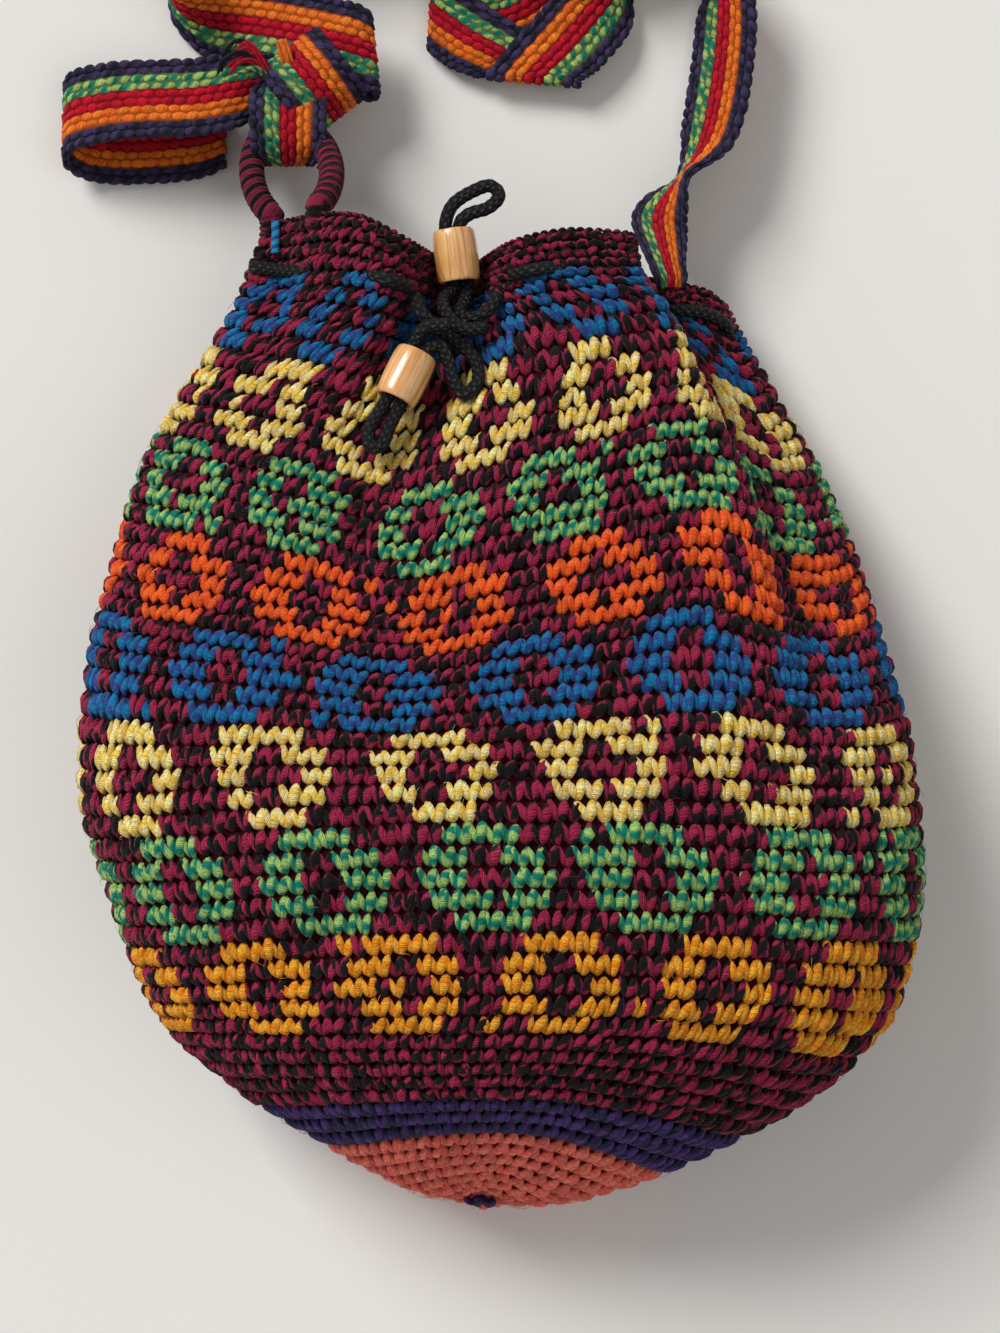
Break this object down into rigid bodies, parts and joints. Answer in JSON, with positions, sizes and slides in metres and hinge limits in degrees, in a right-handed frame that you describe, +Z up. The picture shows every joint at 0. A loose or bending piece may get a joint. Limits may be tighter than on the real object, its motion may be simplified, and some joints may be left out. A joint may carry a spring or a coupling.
{
  "type": "crochet drawstring bucket bag",
  "caption": "Crocheted bucket bag lying on its back, with a gathered drawstring mouth, wooden cord beads and a striped woven strap knotted to a yarn-wrapped loop.",
  "frame": {"origin": "on the floor plane, in the middle of the flat patch on which the bag's back rests", "axes": "+Y towards the mouth and the strap, +Z up out of the bag's front, +X to the right seen from above"},
  "size_m": [0.2737, 0.421, 0.1163],
  "materials": {
    "crochet_yarn": "soft multicolour crochet",
    "striped_webbing": "coarse striped weave",
    "wrapped_yarn": "wound yarn",
    "braided_cord": "fine black braid",
    "turned_wood": "glossy clear coat"
  },
  "bodies": {
    "bag": {"bag_body": "crochet_yarn", "strap": "striped_webbing", "strap_loop": "wrapped_yarn", "strap_lashing": "wrapped_yarn", "drawstring": "braided_cord", "drawstring_upper_end": "braided_cord", "drawstring_lower_end": "braided_cord"},
    "upper_bead": {"bead_upper": "turned_wood"},
    "lower_bead": {"bead_lower": "turned_wood"}
  },
  "joints": [
    {"name": "upper_bead_slide", "type": "slide", "parent": "bag", "child": "upper_bead", "axis": [-0.1191, 0.9929, 0], "range_m": [0, 0.0014]},
    {"name": "lower_bead_slide", "type": "slide", "parent": "bag", "child": "lower_bead", "axis": [-0.4257, -0.8909, 0.1584], "range_m": [0, 0.0014]}
  ]
}
